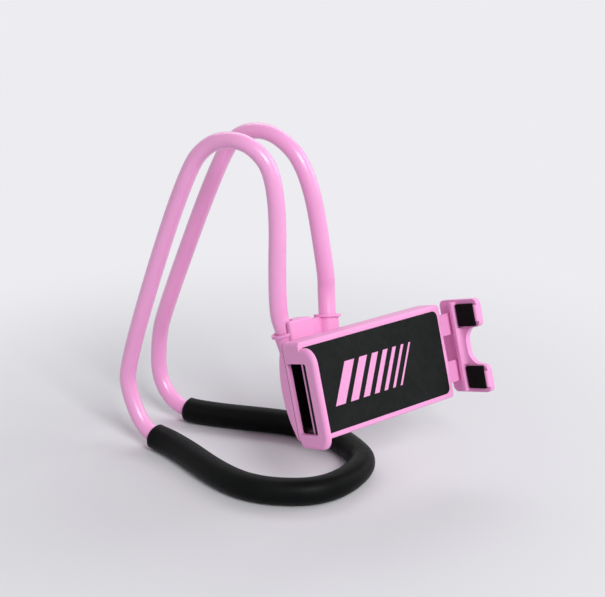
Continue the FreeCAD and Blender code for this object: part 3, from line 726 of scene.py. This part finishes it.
def sleeve_mesh():
    """The foam sleeve: an outer wall with rounded ends and folds, and a bore."""
    made = bmesh.new()
    path = sleeve_path()
    total = (len(path) - 1) * SLEEVE_STEP
    outer = []
    inner = []
    for index, place in enumerate(path):
        along = path[min(index + 1, len(path) - 1)] - path[max(index - 1, 0)]
        along.normalize()
        side = along.cross(Vector((0, 0, 1))).normalized()
        upward = side.cross(along).normalized()
        gone = index * SLEEVE_STEP
        left = min(gone, total - gone)
        radius = SLEEVE_RADIUS
        if left < END_ROUND:
            radius -= END_ROUND - math.sqrt(max(0.0, END_ROUND ** 2 - (END_ROUND - left) ** 2))
        depth = 0.0
        for share, deep, wide in FOLDS:
            depth += deep * math.exp(-(((gone - share * total) / wide) ** 2))
        lump = LUMP_HEIGHT if left > LUMP_STOP else 0.0
        outer.append(sleeve_ring(made, place, side, upward, radius, depth, lump))
        inner.append(sleeve_ring(made, place, side, upward, SLEEVE_BORE))
    bridge(made, outer)
    bridge(made, inner)
    for end in (0, -1):
        bridge(made, [outer[end], inner[end]])
    return finished_mesh(made, "foam_sleeve", sleeve_foam)


foam_sleeve = piece("foam_sleeve", sleeve_mesh(), "neck", "black_foam", "neck_sleeve")


# Pads
def rounded_outline(low, high, rounds, steps=8):
    """A rectangle's outline with a radius at each corner, anticlockwise from
    the lower right one."""
    (left, bottom), (right, top) = low, high
    corners = (
        (right, bottom, -1, 1, -90),
        (right, top, -1, -1, 0),
        (left, top, 1, -1, 90),
        (left, bottom, 1, 1, 180),
    )
    outline = []
    for (x, y, into_x, into_y, start), radius in zip(corners, rounds):
        if radius <= 0:
            outline.append((x, y))
            continue
        for step in range(steps + 1):
            turn = math.radians(start + 90 * step / steps)
            round_x = x + into_x * radius + radius * math.cos(turn)
            round_y = y + into_y * radius + radius * math.sin(turn)
            outline.append((round_x, round_y))
    return outline


# Steps round a slab's soft edge, and the rows on its top as shares of its outline
EDGE_STEPS = 4
TOP_SHARES = (0.9, 0.7, 0.45, 0.2)


def slab_mesh(name, outline, place, thick, soft_edge, finish, crown=0.0):
    """A sheet with that outline and softly rounded edges. place() turns an
    outline point and a height above its back into a place in metres."""
    made = bmesh.new()
    middle = Vector((sum(x for x, y in outline), sum(y for x, y in outline))) / len(outline)
    half = Vector((max(abs(x - middle.x) for x, y in outline), max(abs(y - middle.y) for x, y in outline)))

    def row(inset, share, height):
        across = (1 - inset / half.x) * share
        along = (1 - inset / half.y) * share
        spots = []
        for x, y in outline:
            spot = place(middle.x + (x - middle.x) * across, middle.y + (y - middle.y) * along, height)
            spots.append(made.verts.new(spot))
        return spots

    rings = [row(0.0, 1.0, 0.0)]
    for step in range(EDGE_STEPS + 1):
        turn = math.radians(90 * step / EDGE_STEPS)
        inset = soft_edge * (1 - math.cos(turn))
        rings.append(row(inset, 1.0, thick - soft_edge + soft_edge * math.sin(turn)))
    for share in TOP_SHARES:
        rings.append(row(soft_edge, share, thick + crown * (1 - share * share)))
    bridge(made, rings)
    made.faces.new(rings[0][::-1])
    made.faces.new(rings[-1])
    return finished_mesh(made, name, finish, sharp_from=50)


def on_plate(y, z, rise):
    """A point of the pad, so far above the seat's floor."""
    return in_clip(rise - PAD_THICK, y, z)


PAD_EDGE = 0.45
PAD_LEFT_CORNER = 0.6
pad_outline = rounded_outline(
    (JAW_WALL + SEAT_GAP, -CLIP_HEIGHT / 2 + PAD_RIM + SEAT_GAP),
    (CLIP_LENGTH - PAD_RIM - SEAT_GAP, CLIP_HEIGHT / 2 - PAD_RIM - SEAT_GAP),
    (PAD_CORNER, PAD_CORNER, PAD_LEFT_CORNER, PAD_LEFT_CORNER),
)
pad_mesh = slab_mesh("phone_pad", pad_outline, on_plate, PAD_THICK, PAD_EDGE, pad_black)
piece("phone_pad", pad_mesh, "clip", "black_rubber", "front_pad")

# Foam grips: how far each stays under its solid's height, its bulge, edge and corners
GRIP_UNDER = 0.12
GRIP_CROWN = 0.1
GRIP_EDGE = 0.5
GRIP_CORNERS = (0.8, 0.8, 0.8, 0.8)
FINGER_GRIP_END = CLIP_HEIGHT / 2 - GRIP_INSET * 1.8
FIXED_GRIP_START = SLOT_FRONT + 0.6


def grip_piece(name, low, high, place, body, node):
    """A foam grip glued on a jaw, from one corner to the other."""
    outline = rounded_outline(low, high, GRIP_CORNERS, steps=4)
    thick = GRIP_THICK - GRIP_UNDER
    mesh = slab_mesh(name, outline, place, thick, GRIP_EDGE, grip_foam, GRIP_CROWN)
    grip = piece(name, mesh, body, "black_foam", node)


def on_finger(x, z, rise):
    """A point of a finger's grip, so far from the finger's face."""
    return in_clip(x, JAW_FACE - rise, z)


def on_fixed_jaw(x, z, rise):
    """A point of the fixed jaw's grip, so far from the jaw's face."""
    return in_clip(x, JAW_WALL + rise, z)


for side, label in ((1, "upper"), (-1, "lower")):
    low, high = sorted((side * (NOTCH_WIDTH / 2 + GRIP_INSET / 2), side * FINGER_GRIP_END))
    grip_piece(
        label + "_finger_grip",
        (GRIP_START, low),
        (FINGER_REACH - 2 * BEAD_RADIUS, high),
        on_finger,
        "jaw",
        label + "_jaw_pad",
    )
grip_piece(
    "fixed_jaw_grip",
    (FIXED_GRIP_START, -CLIP_HEIGHT / 2 + JAW_CORNER - JAW_DROP),
    (JAW_REACH - GRIP_INSET, CLIP_HEIGHT / 2 - JAW_CORNER - JAW_DROP),
    on_fixed_jaw,
    "clip",
    "fixed_jaw_pad",
)

# Plain slanted stripes printed on the pad: middle, width in millimetres
STRIPES = ((30.5, 8.0), (42.0, 6.5), (52.0, 5.2), (60.8, 4.1), (68.6, 3.1), (75.6, 2.3), (82.0, 1.6))
STRIPE_HALF_HEIGHT = 13.0
STRIPE_SLANT = 0.5
INK_ROOT = -0.01
INK_THICK = 0.06


def stripes_mesh():
    """Thin slanted bars of ink, side by side."""
    made = bmesh.new()
    for middle, width in STRIPES:
        rows = []
        for height in (INK_ROOT, INK_THICK):
            row = []
            for across, up in ((-1, -1), (1, -1), (1, 1), (-1, 1)):
                y = middle + across * width / 2 + up * STRIPE_HALF_HEIGHT * STRIPE_SLANT
                row.append(made.verts.new(in_clip(height, y, up * STRIPE_HALF_HEIGHT)))
            rows.append(row)
        made.faces.new(rows[0][::-1])
        made.faces.new(rows[1])
        bridge(made, rows)
    return finished_mesh(made, "pad_stripes", ink_pink, smooth=False)


piece("pad_stripes", stripes_mesh(), "clip", "pink_shell")

# Moulded bars on the jaw and the bracket: radius of their edges in millimetres,
# and how sharp an edge is rounded, in degrees
BAR_ROUND = 0.45
BAR_SHARP = 60


def prism_mesh(name, outline, place, low, high):
    """A moulded bar: an outline carried from one end to the other, its sharp
    edges rounded off."""
    made = bmesh.new()
    rows = [[made.verts.new(place(x, y, end)) for x, y in outline] for end in (low, high)]
    made.faces.new(rows[0][::-1])
    made.faces.new(rows[1])
    bridge(made, rows)
    bmesh.ops.recalc_face_normals(made, faces=made.faces)
    sharp = [edge for edge in made.edges if edge.calc_face_angle(0.0) > math.radians(BAR_SHARP)]
    bmesh.ops.bevel(
        made, geom=sharp, offset=BAR_ROUND * MM, segments=3, profile=0.5, affect="EDGES"
    )
    return finished_mesh(made, name, shell_pink, sharp_from=40)


# Ledge along the moving jaw, on which the phone's back edge lies, with a
# hollow fillet up to the cut-out between the fingers
LEDGE_OUT = 3.7
LEDGE_FRONT = 0.9
LEDGE_THICK = 3.4
LEDGE_BACK = LEDGE_FRONT - LEDGE_THICK
LEDGE_HALF = CLIP_HEIGHT / 2 - 1.2
LEDGE_ROOT = JAW_FACE + 0.4
ledge_outline = (
    (LEDGE_BACK, JAW_FACE - LEDGE_OUT),
    (LEDGE_BACK, LEDGE_ROOT),
    (LEDGE_FRONT, LEDGE_ROOT),
    (LEDGE_FRONT, JAW_FACE - LEDGE_OUT),
)
ledge_mesh = prism_mesh("jaw_ledge", ledge_outline, in_clip, -LEDGE_HALF, LEDGE_HALF)
piece("jaw_ledge", ledge_mesh, "jaw", "pink_shell")

FILLET_STEPS = 8
FILLET_OUT = 2.6
FILLET_RISE = 4.0
FILLET_FOOT = LEDGE_FRONT - 0.5
fillet_outline = [(FILLET_FOOT, LEDGE_ROOT), (FILLET_FOOT, JAW_FACE - FILLET_OUT)]
for step in range(FILLET_STEPS + 1):
    turn = math.radians(90 * step / FILLET_STEPS)
    rise = LEDGE_FRONT + FILLET_RISE * (1 - math.cos(turn))
    fillet_outline.append((rise, JAW_FACE - FILLET_OUT * (1 - math.sin(turn))))
fillet_outline.append((LEDGE_FRONT + FILLET_RISE, LEDGE_ROOT))
fillet_mesh = prism_mesh("jaw_fillet", fillet_outline, in_clip, -NOTCH_WIDTH / 2, NOTCH_WIDTH / 2)
piece("jaw_fillet", fillet_mesh, "jaw", "pink_shell")

# Tail at the back of the moving jaw's plate, between the slide arms
TAIL_REACH = 4.2
TAIL_HALF = 13.0
TAIL_ROOT = 1.0
TAIL_CORNER = 3.0
TAIL_THICK = FINGER_THICK - 0.6


def across_jaw(x, z, y):
    """A point of the tail's outline, so far across the clip."""
    return in_clip(x, y, z)


tail_outline = rounded_outline(
    (-FINGER_BACK - TAIL_REACH, -TAIL_HALF),
    (-FINGER_BACK + TAIL_ROOT, TAIL_HALF),
    (0.0, 0.0, TAIL_CORNER, TAIL_CORNER),
    steps=6,
)
tail_mesh = prism_mesh("jaw_tail", tail_outline, across_jaw, JAW_FACE, JAW_FACE + TAIL_THICK)
piece("jaw_tail", tail_mesh, "jaw", "pink_shell")

# Wall from the bracket's block to its far socket
WALL_HALF = 2.52
WALL_FOOT = SOCKET_TOP - SOCKET_LENGTH + 2.2
WALL_TOP = SOCKET_TOP + SOCKET_STEP / 2 - 0.2
WALL_NEAR = HUB_OFFSET + BLOCK_FAR - 2.0
WALL_FAR = HUB_OFFSET + SOCKET_SPREAD / 2 - TUBE_RADIUS - 0.5
wall_outline = (
    (-SOCKET_SETBACK - WALL_HALF, WALL_NEAR),
    (-SOCKET_SETBACK - WALL_HALF, WALL_FAR),
    (-SOCKET_SETBACK + WALL_HALF, WALL_FAR),
    (-SOCKET_SETBACK + WALL_HALF, WALL_NEAR),
)
wall_mesh = prism_mesh("bracket_wall", wall_outline, in_clip, WALL_FOOT, WALL_TOP)
piece("bracket_wall", wall_mesh, "neck", "pink_shell")


def ring_mesh(name, profile, finish, sides=64):
    """A turned ring about the swivel's axis: radius and depth behind the pad's
    face at each corner of its section."""
    made = bmesh.new()
    rows = []
    for number in range(sides):
        turn = math.tau * number / sides
        row = []
        for radius, depth in profile:
            across = HUB_OFFSET + radius * math.cos(turn)
            row.append(made.verts.new(in_clip(-depth, across, radius * math.sin(turn))))
        rows.append(row)
    bridge(made, rows, closed=True)
    return finished_mesh(made, name, finish, sharp_from=40)


# Collar round the swivel nut, between the bracket's hub and its cap
COLLAR_RADIUS = 9.1
COLLAR_BORE = POCKET_RADIUS + 0.05
COLLAR_FOOT = BLOCK_BACK - 4.4
COLLAR_TOP = BLOCK_BACK - 0.1
COLLAR_PROFILE = (
    (COLLAR_BORE, COLLAR_FOOT),
    (COLLAR_RADIUS, COLLAR_FOOT),
    (COLLAR_RADIUS, COLLAR_TOP - 1.1),
    (COLLAR_RADIUS - 0.4, COLLAR_TOP - 0.4),
    (COLLAR_RADIUS - 1.2, COLLAR_TOP),
    (COLLAR_BORE, COLLAR_TOP),
)
piece("hub_collar", ring_mesh("hub_collar", COLLAR_PROFILE, shell_pink), "neck", "pink_shell")

# Springs: turns of wire and points a turn; steps round an eye, where it starts
# on each post and how far it goes round, in degrees; and how far the turns
# stand off the eyes
TURNS = 58
TURN_STEPS = 12
EYE_STEPS = 14
HOUSING_EYE_START = 40
SLIDE_EYE_START = 140
EYE_SWEEP = 300
EYE_REACH = 2.4
WIRE_STEP = 0.9
WIRE_SIDES = 8
WIRE_LINE_STEPS = 2


def spring_points(side):
    """Hook round one post, close turns, hook round the other."""
    height = side * SPRING_OFFSET
    eye = POST_RADIUS + WIRE_RADIUS + SEAT_GAP
    coil = SPRING_RADIUS - WIRE_RADIUS
    start = POST_INSET + eye + EYE_REACH
    end = SLIDE_POST - eye - EYE_REACH
    steps = TURNS * TURN_STEPS
    points = []
    for step in range(EYE_STEPS + 1):
        turn = math.radians(HOUSING_EYE_START + EYE_SWEEP * step / EYE_STEPS)
        across = POST_INSET + eye * math.cos(turn)
        points.append(in_clip(-SPRING_DEPTH, across, height - eye * math.sin(turn)))
    for step in range(steps + 1):
        turn = math.tau * step / TURN_STEPS
        across = start + (end - start) * step / steps
        forward = -SPRING_DEPTH + coil * math.sin(turn)
        points.append(in_clip(forward, across, height + coil * math.cos(turn)))
    for step in range(EYE_STEPS + 1):
        turn = math.radians(SLIDE_EYE_START - EYE_SWEEP * step / EYE_STEPS)
        across = SLIDE_POST + eye * math.cos(turn)
        points.append(in_clip(-SPRING_DEPTH, across, height + eye * math.sin(turn)))
    return points


for side, label in ((1, "upper"), (-1, "lower")):
    name = label + "_coil_spring"
    spring_line = route_curve(label + "_spring_line", spring_points(side), WIRE_LINE_STEPS)
    spring = placed(name, tube_mesh(name, spring_line, WIRE_RADIUS, WIRE_STEP, WIRE_SIDES, spring_steel))
    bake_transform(spring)
    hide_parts(label + "_spring")

# Cover screws: radius and height at each corner of the turned section
SCREW_PROFILE = (
    (0.0, SCREW_HEAD_THICK),
    (0.9, SCREW_HEAD_THICK),
    (1.5, SCREW_HEAD_THICK - 0.12),
    (2.1, SCREW_HEAD_THICK - 0.5),
    (SCREW_HEAD, SCREW_HEAD_THICK - 1.1),
    (SCREW_HEAD, 0.0),
    (SCREW_RADIUS, 0.0),
    (SCREW_RADIUS, -SCREW_SHANK + 1.2),
    (0.3, -SCREW_SHANK),
    (0.0, -SCREW_SHANK),
)
SCREW_SIDES = 28
SCREW_SHARP = 35
# Cross recess: the cutter's arms, and how far its middle lies above the head
RECESS_LENGTH = 2.6
RECESS_WIDTH = 0.55
RECESS_HEIGHT = 1.9
RECESS_LIFT = 0.1


def turned_screw():
    """A pan-head screw as turned, pointing along its own Z."""
    made = bmesh.new()
    rings = []
    for radius, height in SCREW_PROFILE:
        if radius == 0.0:
            rings.append([made.verts.new((0, 0, height * MM))])
            continue
        row = []
        for number in range(SCREW_SIDES):
            turn = math.tau * number / SCREW_SIDES
            spot = Vector((radius * math.cos(turn), radius * math.sin(turn), height)) * MM
            row.append(made.verts.new(spot))
        rings.append(row)
    for number in range(SCREW_SIDES):
        beside = (number + 1) % SCREW_SIDES
        made.faces.new([rings[0][0], rings[1][beside], rings[1][number]])
        made.faces.new([rings[-2][number], rings[-2][beside], rings[-1][0]])
    bridge(made, rings[1:-1])
    bmesh.ops.recalc_face_normals(made, faces=made.faces)
    mesh = bpy.data.meshes.new("screw")
    made.to_mesh(mesh)
    made.free()
    return mesh


def screw_model():
    """One pan-head screw with a cross recess."""
    mesh = turned_screw()
    for size in (
        (RECESS_LENGTH, RECESS_WIDTH, RECESS_HEIGHT),
        (RECESS_WIDTH, RECESS_LENGTH, RECESS_HEIGHT),
    ):
        blade = bmesh.new()
        bmesh.ops.create_cube(blade, size=1.0)
        bmesh.ops.scale(blade, vec=Vector(size) * MM, verts=blade.verts)
        lift = (SCREW_HEAD_THICK + RECESS_LIFT) * MM
        bmesh.ops.translate(blade, vec=(0, 0, lift), verts=blade.verts)
        blade_mesh = bpy.data.meshes.new("blade")
        blade.to_mesh(blade_mesh)
        blade.free()
        blade_object = placed("blade", blade_mesh)
        screw = placed("screw", mesh)
        recess = screw.modifiers.new("recess", "BOOLEAN")
        recess.object = blade_object
        recess.operation = "DIFFERENCE"
        recess.solver = "EXACT"
        mesh = plain_mesh(screw, "screw")
        bpy.data.objects.remove(blade_object)
    for polygon in mesh.polygons:
        polygon.use_smooth = True
    mesh.set_sharp_from_angle(angle=math.radians(SCREW_SHARP))
    return placed("screw", mesh)


def screw_tree(model):
    """Geometry nodes: one screw on each point, turned to the clip's back."""
    sockets = {"Points": "Geometry", "Turn": "Vector", "Finish": "Material"}
    tree = new_tree("screws_on_points", sockets, "Screws")
    start = tree.nodes.new("NodeGroupInput")
    end = tree.nodes.new("NodeGroupOutput")
    source = tree.nodes.new("GeometryNodeObjectInfo")
    source.inputs["Object"].default_value = model
    copies = tree.nodes.new("GeometryNodeInstanceOnPoints")
    real = tree.nodes.new("GeometryNodeRealizeInstances")
    coat = tree.nodes.new("GeometryNodeSetMaterial")
    join = tree.links.new
    join(start.outputs["Points"], copies.inputs["Points"])
    join(source.outputs["Geometry"], copies.inputs["Instance"])
    join(start.outputs["Turn"], copies.inputs["Rotation"])
    join(copies.outputs["Instances"], real.inputs["Geometry"])
    join(real.outputs["Geometry"], coat.inputs["Geometry"])
    join(start.outputs["Finish"], coat.inputs["Material"])
    join(coat.outputs["Geometry"], end.inputs["Screws"])
    return tree


def screws_mesh():
    """The four cover screws, in their places."""
    spots = [
        in_clip(-SPLIT_DEPTH - SHELL_WALL, across, side * SCREW_OFFSET)
        for across in (SCREW_INSET, CLIP_LENGTH - SCREW_INSET)
        for side in (1, -1)
    ]
    points_mesh = bpy.data.meshes.new("screw_points")
    points_mesh.from_pydata(spots, [], [])
    holder = placed("screw_points", points_mesh)
    model = screw_model()
    turn = Matrix((UPRIGHT, ACROSS, -FORWARD)).transposed().to_euler()
    modifier = holder.modifiers.new("screws", "NODES")
    set_inputs(modifier, screw_tree(model), Turn=tuple(turn), Finish=plated_steel)
    mesh = plain_mesh(holder, "cover_screw_set")
    bpy.data.objects.remove(model)
    return mesh


piece("cover_screw_set", screws_mesh(), "clip", "plated_steel", "cover_screws")

# Floor and light. Between two distances from the middle, in metres, the floor
# runs out into an even pale backdrop.
FLOOR_SPAN = 14.0
GLOW_START = 0.12
GLOW_END = 0.5
BACKDROP = (0.845, 0.84, 0.88, 1.0)
SKY_COLOUR = (0.97, 0.967, 1.0, 1.0)
SKY_LIGHT = 0.36
SKY_SEEN = 0.87


def seen_rays(tree):
    """One for rays that show a surface to the camera, straight or by way of
    gloss or glass, else nought."""
    rays = tree.nodes.new("ShaderNodeLightPath")
    seen = rays.outputs["Is Camera Ray"]
    for kind in ("Is Glossy Ray", "Is Transmission Ray"):
        either = tree.nodes.new("ShaderNodeMath")
        either.operation = "MAXIMUM"
        tree.links.new(seen, either.inputs[0])
        tree.links.new(rays.outputs[kind], either.inputs[1])
        seen = either.outputs["Value"]
    return seen


def paper_floor():
    """Pale paper that takes the shadow near the holder and runs out into an
    even pale backdrop farther off."""
    made = Finish("pale_paper_floor")
    made.colour(made.blend_colours(made.grain(1.6, 2.0), (0.7, 0.7, 0.724), (0.72, 0.72, 0.744)))
    made.fixed("Roughness", 0.9)
    made.fixed("Specular IOR Level", 0.1)
    glow = made.node("ShaderNodeEmission")
    glow.inputs["Color"].default_value = BACKDROP
    length = made.node("ShaderNodeVectorMath", operation="LENGTH")
    made.feed(made.place, length.inputs[0])
    distance = made.node("ShaderNodeMapRange", interpolation_type="SMOOTHSTEP")
    distance.inputs["From Min"].default_value = GLOW_START
    distance.inputs["From Max"].default_value = GLOW_END
    made.feed(length.outputs["Value"], distance.inputs["Value"])
    mixed = made.node("ShaderNodeMixShader")
    made.feed(made.both(distance.outputs["Result"], seen_rays(made.tree)), mixed.inputs["Fac"])
    made.feed(made.shader.outputs["BSDF"], mixed.inputs[1])
    made.feed(glow.outputs["Emission"], mixed.inputs[2])
    made.feed(mixed.outputs["Shader"], made.output.inputs["Surface"])
    return made.material


floor_mesh = bpy.data.meshes.new("floor")
floor_corners = [(x * FLOOR_SPAN, y * FLOOR_SPAN, 0.0) for x, y in ((-1, -1), (1, -1), (1, 1), (-1, 1))]
floor_mesh.from_pydata(floor_corners, [], [(0, 1, 2, 3)])
floor_mesh.materials.append(paper_floor())
placed("floor", floor_mesh)


def studio_world():
    """Even light from all round, brighter where it is seen than where it lights."""
    world = bpy.data.worlds.new("studio")
    world.use_nodes = True
    tree = world.node_tree
    sky = tree.nodes["Background"]
    sky.inputs["Color"].default_value = SKY_COLOUR
    level = tree.nodes.new("ShaderNodeMapRange")
    level.inputs["To Min"].default_value = SKY_LIGHT
    level.inputs["To Max"].default_value = SKY_SEEN
    tree.links.new(seen_rays(tree), level.inputs["Value"])
    tree.links.new(level.outputs["Result"], sky.inputs["Strength"])
    return world


scene.world = studio_world()

# The holder's middle, at which every lamp looks
AIM = Vector((0.0, 0.0, 0.1))


def softbox(name, azimuth, elevation, distance, size, power):
    """A soft lamp aimed at the holder's middle: angles in degrees, distance and
    size in metres, power in watts."""
    turn, lift = math.radians(azimuth), math.radians(elevation)
    away = Vector((math.cos(lift) * math.cos(turn), math.cos(lift) * math.sin(turn), math.sin(lift)))
    lamp = bpy.data.lights.new(name, "AREA")
    lamp.shape = "RECTANGLE"
    lamp.size, lamp.size_y = size
    lamp.energy = power
    holder = placed(name, lamp)
    holder.location = AIM + away * distance
    holder.rotation_euler = (-away).to_track_quat("-Z", "Y").to_euler()


softbox("key_softbox", azimuth=-12.0, elevation=37.0, distance=2.4, size=(0.85, 0.85), power=36.0)
softbox("side_softbox", azimuth=66.0, elevation=26.0, distance=1.6, size=(1.1, 1.1), power=8.5)
softbox("top_softbox", azimuth=145.0, elevation=48.0, distance=1.5, size=(1.7, 0.5), power=6.0)

# Camera, fitted to the photograph: its place in the neck's layout, the way it
# looks, and how far it sees in metres
FOCAL_PIXELS = 1133.0
FRAME_PIXELS = 605.0
SENSOR = 36.0
CAMERA_PLACE = (590.0, -420.0, 370.5)
LOOK = Vector((-0.74710, 0.57733, -0.32945))
FARTHEST = 60.0
lens = bpy.data.cameras.new("photo_camera")
lens.sensor_fit = "HORIZONTAL"
lens.sensor_width = SENSOR
lens.lens = FOCAL_PIXELS / FRAME_PIXELS * SENSOR
lens.clip_end = FARTHEST
camera = placed("photo_camera", lens)
camera.location = laid(*CAMERA_PLACE)
camera.rotation_euler = LOOK.to_track_quat("-Z", "Y").to_euler()
scene.camera = camera
scene.view_settings.view_transform = "Standard"
